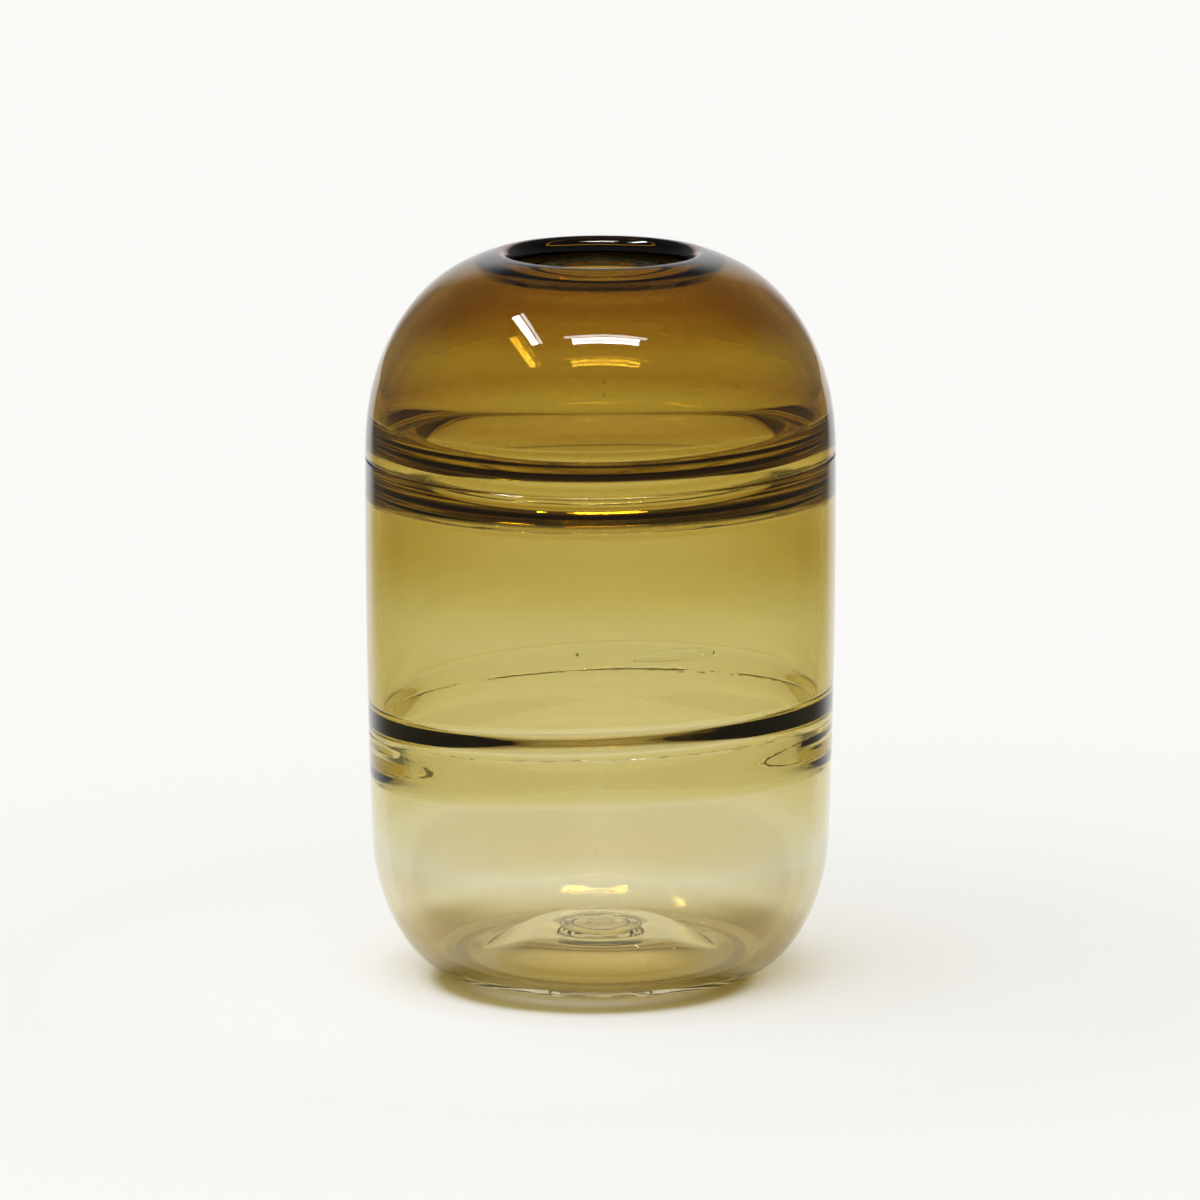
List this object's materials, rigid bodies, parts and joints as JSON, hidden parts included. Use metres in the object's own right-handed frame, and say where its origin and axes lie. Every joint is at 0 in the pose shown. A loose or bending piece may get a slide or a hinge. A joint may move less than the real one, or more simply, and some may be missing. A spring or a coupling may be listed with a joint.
{
  "type": "glass bud vase",
  "caption": "Capsule-shaped blown glass bud vase with a small rolled mouth, two inward folds dividing it into open chambers, and amber colour fading to pale straw",
  "frame": {"origin": "centre of the contact ring on the surface that the vase stands on", "axes": "+Z is the vase's axis, from the foot to the mouth; X and Y are any two directions across it"},
  "size_m": [0.09, 0.09, 0.139],
  "materials": {
    "deep_amber_glass": "fire-polished, deep amber, transparent",
    "fold_amber_glass": "fire-polished, amber, transparent, fine trapped seam",
    "olive_amber_glass": "fire-polished, olive amber, transparent",
    "light_amber_glass": "fire-polished, light amber, transparent, fine trapped seam",
    "pale_straw_glass": "fire-polished, pale straw, transparent"
  },
  "bodies": {
    "root": {"lip_ring": "deep_amber_glass", "shoulder_dome": "deep_amber_glass", "upper_fold_ring": "fold_amber_glass", "middle_barrel": "olive_amber_glass", "lower_fold_ring": "light_amber_glass", "lower_cup": "pale_straw_glass", "base": "pale_straw_glass", "pontil_mark": "pale_straw_glass"}
  },
  "joints": []
}
